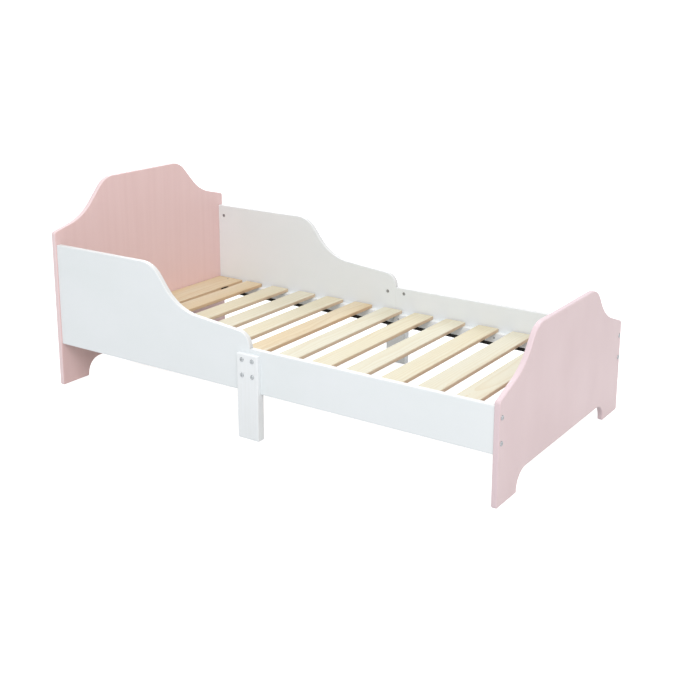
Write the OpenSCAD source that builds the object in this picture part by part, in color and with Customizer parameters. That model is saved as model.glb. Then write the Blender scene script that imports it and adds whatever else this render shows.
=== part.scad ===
// Toddler bed: two shaped end boards, split side panels, middle legs and a roll-out slat base.
// Frame: X runs from the head to the foot, Y across the bed, Z up; the floor is z = 0.

/* [Overall] */
// Length over the end boards
bed_l = 1430; // [1400:5:1480]
// Width over the end boards
bed_w = 740; // [720:5:780]
// Thickness of the end boards and the side panels
board_t = 15; // [15:1:18]

/* [Headboard] */
// Height of the headboard
head_h = 594; // [570:2:640]
// Length of the level top edge of the headboard
head_flat = 260; // [230:5:280]
// Radius where the headboard's top edge turns down
head_crown_r = 75; // [60:5:80]
// Radius of the hollow above the headboard's shoulder
head_hollow_r = 160; // [140:5:165]

/* [Footboard] */
// Height of the footboard
foot_h = 391; // [370:2:420]
// Length of the level top edge of the footboard
foot_flat = 292; // [260:4:296]
// Radius where the footboard's top edge turns down
foot_crown_r = 70; // [55:5:75]
// Radius of the hollow above the footboard's shoulder
foot_hollow_r = 170; // [150:5:175]

/* [End board feet] */
// Width of each foot of the end boards
foot_w = 103; // [85:1:120]
// Height of the arch between the feet
arch_h = 51; // [46:1:70]
// Radius of the arch's corners
arch_r = 45; // [30:1:46]

/* [Side panels] */
// Height of the panels' lower edge above the floor
panel_z = 127; // [115:1:135]
// Height of the guard's top edge
guard_top = 424; // [410:1:440]
// Height of the low rail at the foot end
rail_top = 245; // [240:1:255]
// Position of the joint between guard panel and low rail, from the bed's centre
joint_x = 3; // [0:1:10]
// Set-back of the panels from the end boards' front edges
panel_inset = 5; // [3:1:8]

/* [Middle legs] */
// Width of a middle leg
leg_w = 68; // [60:2:80]
// Height of a middle leg
leg_h = 233; // [226:1:238]
// Thickness of a middle leg below the panels
leg_t = 25; // [25:0.5:28]
// Thickness of the leg's tongue in front of the panels
tongue_t = 12.5; // [10:0.5:14]

/* [Slat base] */
// Height of the slat tops
slat_top = 178; // [172:1:184]
// Thickness of the slats
slat_t = 12; // [10:1:14]
// Width of the ordinary slats
slat_w = 66; // [58:1:72]
// Width of the first slat, beside the headboard
first_w = 100; // [80:2:100]
// Distance from one ordinary slat to the next
slat_pitch = 109.2; // [104:0.2:109.8]
// Gap between a slat's end and the side panels
slat_gap = 7; // [4:1:10]
// Depth of the battens that carry the slats
cleat_d = 20; // [18:1:24]
// Height of the battens that carry the slats
cleat_h = 30; // [24:1:34]
// Width of the webbing under the slats
strap_w = 25; // [20:1:30]

/* [Hardware] */
// Diameter of the bolt heads
head_d = 12; // [10:0.5:13]
// Diameter of the bolts' threaded shanks
bolt_d = 6; // [5:0.5:6]
// Diameter of the barrel nuts
barrel_d = 10; // [9:0.5:11]
// Diameter of the wooden dowels
dowel_d = 8; // [7:0.5:8]

/* [Hidden] */

$fn = 48;
arc_steps = 14;
eps = 0.1;

half_l = bed_l / 2;
half_w = bed_w / 2;
inner_x = half_l - board_t;
panel_out = half_w - panel_inset;
panel_in = panel_out - board_t;
panel_mid = (panel_out + panel_in) / 2;

// Slopes of the shaped top edges, in degrees
head_steep = 48;
head_shoulder = 14;
head_run = 58.7;
foot_steep = 55;
foot_shoulder = 20;
foot_run = 17;
corner_r = 10;

// The guard's shaped end
guard_flat_x = -372;
guard_crown_r = 80;
guard_hollow_r = 150;
guard_steep = 53;
guard_slope = 5.5;
guard_run = 40;
guard_end_r = 40;

// Middle legs
leg_out = panel_out + tongue_t;
leg_in = leg_out - leg_t;
leg_chamfer = 2.5;

// Slats, battens and webbing
slat_z = slat_top - slat_t;
slat_half = panel_in - slat_gap;
first_end = first_w - inner_x + 1;
last_slat = 13;
last_end = inner_x - 13.8;
cleat_fit = 8;
strap_y = 243;
strap_t = 1.5;
strap_overlap = 12;
hump_gap = 1.2;
staple = [1.2, 11, 0.8];

// Fasteners
head_t = 2;
socket_d = 4.6;
socket_deep = 1.2;
shank_fit = 0.25;
bolt_len = 44;
leg_bolt_len = 24;
leg_bolt_x = 16.5;
leg_bolt_z = [217, 175];
barrel_reach = 21;
barrel_len = 13;
slot_w = 1.6;
guard_bolt_z = [389, 165];
rail_bolt_z = [218, 156];
guard_dowel_z = 277;
rail_dowel_z = 187;
joint_dowel_z = 147;
rod_z = 228;
rod_reach = 29;
rod_len = 72;
insert_d = 9;
insert_len = 11.5;
dowel_len = 30;
dowel_bore_end = 9;
dowel_bore_rail = 23;
screw_d = 3.6;
screw_head_d = 7;
screw_len = 28;
screw_count = 5;
cleat_screw_first = 15;
slat_screw_in = 16;

function point_on(centre, radius, angle) = centre + radius * [sin(angle), cos(angle)];
function arc(centre, radius, from, to) =
    [for (i = [0:arc_steps]) point_on(centre, radius, from + (to - from) * i / arc_steps)];

// Edge that starts level at start, turns down to steep degrees, runs straight, then flattens to shallow
// degrees. The angles are measured from level, and the hollow is an arc seen from below its centre.
function crown_centre(start, crown_r) = start - [0, crown_r];
function hollow_start(start, crown_r, steep, run) =
    point_on(crown_centre(start, crown_r), crown_r, steep) + run * [cos(steep), -sin(steep)];
function s_edge(start, crown_r, steep, run, hollow_r, shallow) =
    let (from = hollow_start(start, crown_r, steep, run),
         hollow = from + hollow_r * [sin(steep), cos(steep)])
    concat(arc(crown_centre(start, crown_r), crown_r, 0, steep),
           arc(hollow, -hollow_r, steep, shallow));

// Rounded corner that follows a straight edge of the given slope down to a vertical edge at x
function corner_centre(last, x, radius, slope) =
    [x - radius, last[1] - (x - radius - last[0]) * tan(slope) - radius / cos(slope)];
function end_corner(last, x, radius, slope) =
    arc(corner_centre(last, x, radius, slope), radius, slope, 90);

function tail(list) = list[len(list) - 1];
function board_edge(height, flat, crown_r, steep, run, hollow_r, shallow) =
    let (top = s_edge([flat / 2, height], crown_r, steep, run, hollow_r, shallow))
    concat(top, end_corner(tail(top), half_w, corner_r, shallow));

// Start of ordinary slat number i, counted from the headboard; slat 1 is the wide one
function slat_start(i) = i == 1 ? 1 - inner_x : last_end - slat_w - (last_slat - i) * slat_pitch;
function slat_width(i) = i == 1 ? first_w : slat_w;

function mirrored(list) = [for (i = [len(list) - 1:-1:0]) [-list[i][0], list[i][1]]];

module arch_outline() {
    span = half_w - foot_w;
    translate([-span, -eps]) square([2 * span, arch_h - arch_r + eps]);
    translate([arch_r - span, 0]) square([2 * (span - arch_r), arch_h]);
    for (s = [-1, 1]) translate([s * (span - arch_r), arch_h - arch_r]) circle(arch_r);
}

module board_outline(edge) {
    difference() {
        polygon(concat([[-half_w, 0]], mirrored(edge), edge, [[half_w, 0]]));
        arch_outline();
    }
}

// Stands an outline drawn in (Y, Z) up as a board that starts at x
module across(x, thickness) {
    translate([x, 0, 0]) rotate([90, 0, 90]) linear_extrude(thickness) children();
}

// Stands an outline drawn in (X, Z) up as a panel between the given distances from the bed's centre line,
// on the front (side = -1) or the rear (side = 1)
module along(side, near, far) {
    y = side < 0 ? -near : far;
    translate([0, y, 0]) rotate([90, 0, 0]) linear_extrude(far - near) children();
}

module rod_x(x, y, z, length, diameter) {
    translate([x, y, z]) rotate([0, 90, 0]) cylinder(h = length, d = diameter);
}

// Cylinder along Y from the distance near to the distance far on one side of the bed
module rod_y(side, x, near, far, z, diameter) {
    translate([x, side < 0 ? -near : far, z]) rotate([90, 0, 0]) cylinder(h = far - near, d = diameter);
}

module both_sides() {
    for (side = [-1, 1]) translate([0, side * panel_mid, 0]) children();
}

// Bores in an end board for its bolts and dowels; inward is the side that the panels meet
module end_board_bores(outer_x, inward, bolts_z, dowel_z) {
    start = inward > 0 ? outer_x : outer_x - board_t;
    both_sides() {
        for (z = bolts_z) rod_x(start - eps, 0, z, board_t + 2 * eps, bolt_d + 2 * shank_fit);
        from = inward > 0 ? outer_x + board_t - dowel_bore_end : outer_x - board_t - eps;
        rod_x(from, 0, dowel_z, dowel_bore_end + eps, dowel_d);
    }
}

module headboard() {
    edge = board_edge(head_h, head_flat, head_crown_r, head_steep, head_run, head_hollow_r, head_shoulder);
    color("#dfbcb8") difference() {
        across(-half_l, board_t) board_outline(edge);
        end_board_bores(-half_l, 1, guard_bolt_z, guard_dowel_z);
    }
}

module footboard() {
    edge = board_edge(foot_h, foot_flat, foot_crown_r, foot_steep, foot_run, foot_hollow_r, foot_shoulder);
    color("#dfcaca") difference() {
        across(inner_x, board_t) board_outline(edge);
        end_board_bores(half_l, -1, rail_bolt_z, rail_dowel_z);
    }
}

// Bores that a side panel needs at the end where it meets an end board
module panel_end_bores(side, x, inward, bolts_z, dowel_z) {
    reach = bolt_len - board_t + 2;
    for (z = bolts_z) {
        rod_x(inward > 0 ? x - eps : x - reach, side * panel_mid, z, reach + eps, bolt_d + 2 * shank_fit);
        rod_y(side, x + inward * barrel_reach, panel_in - eps, panel_in + barrel_len, z, barrel_d);
    }
    start = inward > 0 ? x - eps : x - dowel_bore_rail;
    rod_x(start, side * panel_mid, dowel_z, dowel_bore_rail + eps, dowel_d);
}

// Bores that a side panel needs at the middle joint and behind the leg; toward is -1 for the guard panel
module panel_joint_bores(side, toward) {
    rod_from = toward > 0 ? joint_x - eps : joint_x - rod_len / 2 - 1;
    rod_x(rod_from, side * panel_mid, rod_z, rod_len / 2 + 1 + eps, bolt_d + 2 * shank_fit);
    rod_y(side, joint_x + toward * rod_reach, panel_in - eps, panel_in + barrel_len, rod_z, barrel_d);
    dowel_from = toward > 0 ? joint_x - eps : joint_x - dowel_len / 2 - 1;
    rod_x(dowel_from, side * panel_mid, joint_dowel_z, dowel_len / 2 + 1 + eps, dowel_d);
    for (z = leg_bolt_z)
        rod_y(side, joint_x + toward * leg_bolt_x, panel_out - insert_len - 1, panel_out + eps, z, insert_d);
}

module cleat_screw_holes(side, x0, x1) {
    for (x = screw_places(x0, x1))
        rod_y(side, x, panel_in - eps, panel_in + screw_len - cleat_d + 1, cleat_screw_z, screw_d);
}

cleat_screw_z = slat_z - cleat_h / 2;
function screw_places(x0, x1) =
    [for (i = [0:screw_count - 1])
        x0 + cleat_screw_first + (x1 - x0 - 2 * cleat_screw_first) * i / (screw_count - 1)];

guard_x = [-inner_x, joint_x];
rail_x = [joint_x, inner_x];

module guard_outline() {
    start = [guard_flat_x, guard_top];
    edge = s_edge(start, guard_crown_r, guard_steep, guard_run, guard_hollow_r, guard_slope);
    corner = end_corner(tail(edge), joint_x, guard_end_r, guard_slope);
    polygon(concat([[-inner_x, panel_z], [-inner_x, guard_top]], edge, corner, [[joint_x, panel_z]]));
}

module guard_panel(side) {
    color("#e6ebee") difference() {
        along(side, panel_in, panel_out) guard_outline();
        panel_end_bores(side, -inner_x, 1, guard_bolt_z, guard_dowel_z);
        panel_joint_bores(side, -1);
        cleat_screw_holes(side, guard_x[0] + cleat_fit, guard_x[1] - cleat_fit);
    }
}

module foot_rail(side) {
    color("#e6ebee") difference() {
        along(side, panel_in, panel_out)
            translate([joint_x, panel_z]) square([inner_x - joint_x, rail_top - panel_z]);
        panel_end_bores(side, inner_x, -1, rail_bolt_z, rail_dowel_z);
        panel_joint_bores(side, 1);
        cleat_screw_holes(side, rail_x[0] + cleat_fit, rail_x[1] - cleat_fit);
    }
}

module leg_plan() {
    outer = [[-leg_w / 2 + leg_chamfer, leg_out], [leg_w / 2 - leg_chamfer, leg_out]];
    corner = [[leg_w / 2, leg_out - leg_chamfer], [leg_w / 2, leg_in]];
    polygon(concat(outer, corner, [for (p = [corner[1], corner[0]]) [-p[0], p[1]]]));
}

module middle_leg(side) {
    color("#e9edef") translate([joint_x, 0, 0]) mirror([0, side < 0 ? 1 : 0, 0]) difference() {
        linear_extrude(leg_h) leg_plan();
        translate([-leg_w, 0, panel_z]) cube([2 * leg_w, panel_out, leg_h]);
        for (x = [-leg_bolt_x, leg_bolt_x], z = leg_bolt_z)
            rod_y(1, x, panel_out - eps, leg_out + eps, z, bolt_d + 2 * shank_fit);
    }
}

module screw_bore_z(x, y) {
    translate([x, y, slat_top - screw_len - 1]) cylinder(h = screw_len + 2, d = screw_d);
}

module countersink_z(x, y) {
    sink = (screw_head_d - screw_d) / 2;
    translate([x, y, slat_top - sink])
        cylinder(h = sink + eps, d1 = screw_d, d2 = screw_head_d + 2 * eps);
}

slat_screw_y = slat_half - slat_screw_in;
function slat_mid(i) = slat_start(i) + slat_width(i) / 2;

module cleat(side, x0, x1) {
    color("#eceff0") difference() {
        translate([x0, side < 0 ? -panel_in : panel_in - cleat_d, slat_z - cleat_h])
            cube([x1 - x0, cleat_d, cleat_h]);
        for (x = screw_places(x0, x1))
            rod_y(side, x, panel_in - cleat_d - eps, panel_in + eps, cleat_screw_z, screw_d);
        for (i = [1, last_slat]) screw_bore_z(slat_mid(i), side * slat_screw_y);
    }
}

module slat(i) {
    color("#e9dfc4") difference() {
        translate([slat_start(i), -slat_half, slat_z]) cube([slat_width(i), 2 * slat_half, slat_t]);
        if (i == 1 || i == last_slat) for (side = [-1, 1]) {
            screw_bore_z(slat_mid(i), side * slat_screw_y);
            countersink_z(slat_mid(i), side * slat_screw_y);
        }
    }
}

// Strap in (X, Z): flat under the slats, with a slack fold that stands up in the narrow first gap
module strap_profile() {
    x0 = slat_start(1) + strap_overlap;
    x1 = slat_start(last_slat) + slat_w - strap_overlap;
    fold0 = slat_start(1) + first_w + hump_gap;
    fold1 = slat_start(2) - hump_gap;
    fold_r = (fold1 - fold0) / 2;
    fold_z = slat_top - 3 - fold_r;
    difference() {
        union() {
            translate([x0, slat_z - strap_t]) square([x1 - x0, strap_t]);
            translate([fold0, slat_z - strap_t]) square([2 * fold_r, fold_z - slat_z + strap_t]);
            translate([fold0 + fold_r, fold_z]) circle(fold_r);
        }
        translate([fold0 + strap_t, slat_z - strap_t - eps])
            square([2 * (fold_r - strap_t), fold_z - slat_z + strap_t + eps]);
        translate([fold0 + fold_r, fold_z]) circle(fold_r - strap_t);
    }
}

module webbing(side) {
    color("#1d1c1b") along(side, strap_y - strap_w / 2, strap_y + strap_w / 2) strap_profile();
}

module webbing_staples() {
    z = slat_z - strap_t - staple[2];
    color("#b9bcbf") for (side = [-1, 1], i = [1:last_slat], s = [-1, 1])
        translate([slat_mid(i) + s * slat_w / 5 - staple[0] / 2, side * strap_y - staple[1] / 2, z])
            cube(staple);
}

// Socket-head connector bolt along +X: the head's underside is at x = 0 and the shank runs to x = length
module bolt(length) {
    difference() {
        union() {
            rod_x(-head_t, 0, 0, head_t, head_d);
            rod_x(-eps, 0, 0, length + eps, bolt_d);
        }
        translate([-head_t - eps, 0, 0]) rotate([0, 90, 0])
            cylinder(h = socket_deep + eps, d = socket_d, $fn = 6);
    }
}

module end_bolts(outer_x, inward, bolts_z) {
    color("#b4b7ba") both_sides() for (z = bolts_z)
        translate([outer_x, 0, z]) rotate([0, 0, inward > 0 ? 0 : 180]) bolt(bolt_len);
}

module leg_bolts(side) {
    color("#b4b7ba") for (x = [-leg_bolt_x, leg_bolt_x], z = leg_bolt_z)
        translate([joint_x + x, side * leg_out, z]) rotate([0, 0, -side * 90]) bolt(leg_bolt_len);
}

// Barrel nut along Y, flush with the panel's inner face, with its cross thread along X
module barrel_nut(side, x, z) {
    difference() {
        rod_y(side, x, panel_in, panel_in + barrel_len, z, barrel_d);
        rod_x(x - barrel_d, side * panel_mid, z, 2 * barrel_d, bolt_d + 0.02);
        translate([x - barrel_d / 2, side * (panel_in + 0.4), z])
            cube([2 * barrel_d, 1, slot_w], center = true);
    }
}

module barrel_nuts(places, heights) {
    color("#a9acae") for (side = [-1, 1], x = places, z = heights) barrel_nut(side, x, z);
}

module joint_rods() {
    color("#9da0a3") both_sides() rod_x(joint_x - rod_len / 2, 0, rod_z, rod_len, bolt_d);
}

module insert_nuts(side) {
    color("#a9acae") for (x = [-leg_bolt_x, leg_bolt_x], z = leg_bolt_z) difference() {
        rod_y(side, joint_x + x, panel_out - insert_len, panel_out, z, insert_d);
        rod_y(side, joint_x + x, panel_out - insert_len - eps, panel_out + eps, z, bolt_d + 0.02);
    }
}

module wooden_dowels() {
    color("#d8bf93") both_sides() {
        rod_x(-inner_x - dowel_bore_end + 1, 0, guard_dowel_z, dowel_len, dowel_d);
        rod_x(inner_x + dowel_bore_end - 1 - dowel_len, 0, rail_dowel_z, dowel_len, dowel_d);
        rod_x(joint_x - dowel_len / 2, 0, joint_dowel_z, dowel_len, dowel_d);
    }
}

// Countersunk wood screw along +Z, head down, with its head's face at z = 0
module screw() {
    sink = (screw_head_d - screw_d) / 2;
    difference() {
        union() {
            cylinder(h = sink, d1 = screw_head_d, d2 = screw_d);
            translate([0, 0, sink - eps]) cylinder(h = screw_len - 2 * sink, d = screw_d);
            translate([0, 0, screw_len - sink - 2 * eps]) cylinder(h = sink, d1 = screw_d, d2 = 0.6);
        }
        for (turn = [0, 90]) rotate([0, 0, turn]) cube([3.6, 0.9, 2], center = true);
    }
}

module cleat_screws(side) {
    color("#6f6f6f")
        for (span = [guard_x, rail_x], x = screw_places(span[0] + cleat_fit, span[1] - cleat_fit))
            translate([x, side * (panel_in - cleat_d), cleat_screw_z]) rotate([-side * 90, 0, 0]) screw();
}

module slat_screws() {
    color("#8d7f63") for (side = [-1, 1], i = [1, last_slat])
        translate([slat_mid(i), side * slat_screw_y, slat_top]) rotate([180, 0, 0]) screw();
}

headboard();
footboard();
guard_panel(-1);  // guard_panel_front
guard_panel(1);  // guard_panel_rear
foot_rail(-1);  // foot_rail_front
foot_rail(1);  // foot_rail_rear
middle_leg(-1);  // middle_leg_front
middle_leg(1);  // middle_leg_rear
cleat(-1, guard_x[0] + cleat_fit, guard_x[1] - cleat_fit);  // cleat_guard_front
cleat(1, guard_x[0] + cleat_fit, guard_x[1] - cleat_fit);  // cleat_guard_rear
cleat(-1, rail_x[0] + cleat_fit, rail_x[1] - cleat_fit);  // cleat_rail_front
cleat(1, rail_x[0] + cleat_fit, rail_x[1] - cleat_fit);  // cleat_rail_rear
slat(1);  // slat_01
slat(2);  // slat_02
slat(3);  // slat_03
slat(4);  // slat_04
slat(5);  // slat_05
slat(6);  // slat_06
slat(7);  // slat_07
slat(8);  // slat_08
slat(9);  // slat_09
slat(10);  // slat_10
slat(11);  // slat_11
slat(12);  // slat_12
slat(13);  // slat_13
webbing(-1);  // webbing_front
webbing(1);  // webbing_rear
webbing_staples();
end_bolts(-half_l, 1, guard_bolt_z);  // headboard_bolts
end_bolts(half_l, -1, rail_bolt_z);  // footboard_bolts
leg_bolts(-1);  // leg_bolts_front
leg_bolts(1);  // leg_bolts_rear
barrel_nuts([barrel_reach - inner_x], guard_bolt_z);  // barrel_nuts_head
barrel_nuts([inner_x - barrel_reach], rail_bolt_z);  // barrel_nuts_foot
barrel_nuts([joint_x - rod_reach, joint_x + rod_reach], [rod_z]);  // barrel_nuts_joint
joint_rods();
insert_nuts(-1);  // insert_nuts_front
insert_nuts(1);  // insert_nuts_rear
wooden_dowels();
cleat_screws(-1);  // cleat_screws_front
cleat_screws(1);  // cleat_screws_rear
slat_screws();
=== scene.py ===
"""Toddler bed: dressed pieces for every part of the frame, with studio, light and camera.

The frame holds the true sizes. Each class below builds one sub-assembly over it: the painted end
boards, the side panels, the middle legs, the slat base and the hardware. All lengths are metres
unless a name ends in _mm.
"""

import logging
import math
import random
from collections.abc import Callable, Iterable, Sequence
from dataclasses import dataclass, field
from enum import Enum
from itertools import repeat

import bpy
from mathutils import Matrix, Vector
from mathutils.geometry import tessellate_polygon


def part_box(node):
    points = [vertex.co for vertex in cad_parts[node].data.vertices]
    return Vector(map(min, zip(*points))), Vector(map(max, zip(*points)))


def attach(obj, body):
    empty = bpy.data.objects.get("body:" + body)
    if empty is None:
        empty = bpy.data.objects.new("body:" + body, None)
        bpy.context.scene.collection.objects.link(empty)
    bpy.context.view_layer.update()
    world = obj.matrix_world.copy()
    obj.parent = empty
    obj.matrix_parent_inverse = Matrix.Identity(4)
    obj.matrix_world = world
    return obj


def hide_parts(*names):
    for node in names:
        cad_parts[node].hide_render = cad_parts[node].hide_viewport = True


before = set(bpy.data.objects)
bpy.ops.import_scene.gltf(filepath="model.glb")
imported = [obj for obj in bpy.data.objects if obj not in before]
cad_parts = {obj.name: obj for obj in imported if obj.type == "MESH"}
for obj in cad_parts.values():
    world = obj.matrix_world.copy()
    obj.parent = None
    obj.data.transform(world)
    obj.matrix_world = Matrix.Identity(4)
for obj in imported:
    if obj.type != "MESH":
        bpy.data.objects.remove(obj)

log = logging.getLogger("toddler_bed")

MM = 0.001
# Two places nearer than this are the same.
NEAR = 0.01 * MM
# An outline that turns by more than this at a point has a corner there.
SHARP = math.radians(25)
# Extra points beside a corner lie this much further from it than the rounding reaches.
CLEAR = 0.3 * MM
# The frame nodes of the barrel nuts, which open in the side panels' inner faces.
NUT_GROUPS = ("barrel_nuts_head", "barrel_nuts_foot", "barrel_nuts_joint")

Point = tuple[float, float]
Triple = tuple[float, float, float]
Loop = list[Point]
Material = bpy.types.Material
Tree = bpy.types.NodeTree
Node = bpy.types.Node
Socket = bpy.types.NodeSocket


class Side(Enum):
    """The two long sides of the bed, by the sign of Y."""

    FRONT = -1
    REAR = 1

    @property
    def word(self) -> str:
        """The side's word in node names."""
        return self.name.lower()


class Lay(Enum):
    """How a slab's outline and depth lie in the frame: the axes of outline a, outline b and depth."""

    ACROSS = (1, 2, 0)
    ALONG = (0, 2, 1)
    FLAT = (0, 1, 2)

    def place(self, a: float, b: float, depth: float) -> Vector:
        """Turns outline coordinates and a depth into a point or direction in the frame."""
        spot = [0.0, 0.0, 0.0]
        for axis, value in zip(self.value, (a, b, depth)):
            spot[axis] = value
        return Vector(spot)

    @property
    def mirrored(self) -> bool:
        """True where outline a, outline b and depth make a left-handed set."""
        return self is Lay.ALONG


# ---- Outlines ----


def area_of(loop: Loop) -> float:
    """Signed area of a closed outline, positive when it runs anticlockwise."""
    pairs = zip(loop, loop[1:] + loop[:1])
    return sum(p[0] * q[1] - q[0] * p[1] for p, q in pairs) / 2


def anticlockwise(loop: Loop) -> Loop:
    """The same outline, running anticlockwise."""
    return loop if area_of(loop) > 0 else loop[::-1]


def circle(a: float, b: float, radius: float, count: int = 40, turn: float = 0.0) -> Loop:
    """A round outline of count points; with count 6 it is a hexagon across its corners."""
    angles = [turn + math.tau * i / count for i in range(count)]
    return [(a + radius * math.cos(t), b + radius * math.sin(t)) for t in angles]


def rectangle(a0: float, b0: float, a1: float, b1: float) -> Loop:
    """A rectangular outline between two corners."""
    return [(a0, b0), (a1, b0), (a1, b1), (a0, b1)]


def cross(a: float, b: float, reach: float, width: float) -> Loop:
    """The outline of a cross recess, its arms reach long from the middle."""
    w = width / 2
    quarter = [(reach, -w), (reach, w), (w, w)]
    turns = [(1, 0, 0, 1), (0, -1, 1, 0), (-1, 0, 0, -1), (0, 1, -1, 0)]
    return [(a + p * m[0] + q * m[1], b + p * m[2] + q * m[3]) for m in turns for p, q in quarter]


def corner_at(loop: Loop, i: int) -> tuple[Vector, Vector, Vector, float]:
    """Point i of an outline, the directions back and on from it, and how far the outline turns there."""
    here = Vector(loop[i])
    back = (Vector(loop[i - 1]) - here).normalized()
    on = (Vector(loop[(i + 1) % len(loop)]) - here).normalized()
    return here, back, on, math.pi - back.angle(on)


def rounded(loop: Loop, radius: float | Callable[[Point], float], step_deg: float = 12.0) -> Loop:
    """Replaces every sharp corner by an arc.

    Args:
        loop: the outline, with sharp corners.
        radius: the arc's radius, or a function that gives it for a corner.
        step_deg: the largest turn between two points of an arc.

    Returns:
        The outline with rounded corners.
    """
    out: Loop = []
    for i, spot in enumerate(loop):
        here, back, on, turn = corner_at(loop, i)
        r = radius(spot) if callable(radius) else radius
        if turn < SHARP or r <= 0:
            out.append(spot)
            continue
        tangent = r * math.tan(turn / 2)
        centre = here + (back + on).normalized() * (r / math.cos(turn / 2))
        first, last = here + back * tangent - centre, here + on * tangent - centre
        sweep = math.atan2(first.x * last.y - first.y * last.x, first.dot(last))
        steps = max(2, math.ceil(abs(math.degrees(sweep)) / step_deg))
        for k in range(steps + 1):
            angle = math.atan2(first.y, first.x) + sweep * k / steps
            out.append((centre.x + r * math.cos(angle), centre.y + r * math.sin(angle)))
    return out


def with_corner_points(loop: Loop, rim: float) -> Loop:
    """Adds a point a little before and after every sharp corner, to keep it crisp.

    Args:
        loop: the outline.
        rim: the rounding of the slab's rims, which the two points have to be clear of.

    Returns:
        The same outline with more points on it.
    """
    reach = rim + CLEAR
    out: Loop = []
    for i, spot in enumerate(loop):
        here, back, on, turn = corner_at(loop, i)
        sharp = turn >= SHARP
        out += [tuple(here + back * reach), spot, tuple(here + on * reach)] if sharp else [spot]
    return out


def face_outline(node: str, lay: Lay, far: bool) -> Loop:
    """Reads the outer outline of a frame node's flat face.

    Args:
        node: the frame node, a board or panel.
        lay: how the board lies; its depth axis is the face's normal.
        far: True for the face at the greater depth.

    Returns:
        The face's outer outline, anticlockwise, without points on straight runs.
    """
    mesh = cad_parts[node].data
    a, b, d = lay.value
    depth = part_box(node)[1 if far else 0][d]
    spots = {v.index: (round(v.co[a], 6), round(v.co[b], 6)) for v in mesh.vertices}
    uses: dict[tuple[Point, Point], int] = {}
    for face in mesh.polygons:
        if abs(face.center[d] - depth) > NEAR or abs(face.normal[d]) < 0.99:
            continue
        ring = [spots[i] for i in face.vertices]
        for p, q in zip(ring, ring[1:] + ring[:1]):
            if p != q:
                edge = min(p, q), max(p, q)
                uses[edge] = uses.get(edge, 0) + 1
    links: dict[Point, list[Point]] = {}
    for (p, q), count in uses.items():
        if count == 1:
            links.setdefault(p, []).append(q)
            links.setdefault(q, []).append(p)
    best: Loop = []
    while links:
        start = min(links)
        loop, last, here = [start], start, links[start][0]
        while here != start:
            loop.append(here)
            step = [p for p in links[here] if p != last] or [start]
            last, here = here, step[0]
        for p in loop:
            links.pop(p, None)
        if abs(area_of(loop)) > abs(area_of(best) if best else 0):
            best = loop
    return without_straight_points(anticlockwise(best))


def without_straight_points(loop: Loop) -> Loop:
    """Drops the points at which an outline turns by less than a fifth of a degree."""
    return [spot for i, spot in enumerate(loop) if corner_at(loop, i)[3] > math.radians(0.2)]


# ---- Solid shapes ----


@dataclass(frozen=True)
class Recess:
    """A blind hole in one flat face of a slab.

    Attributes:
        outline: the hole's mouth.
        depth: how deep it goes.
        far: True if it is in the face at the greater depth.
        floor: the floor's size as a share of the mouth's, 1 for straight walls.
    """

    outline: Loop
    depth: float
    far: bool
    floor: float = 1.0


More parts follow.
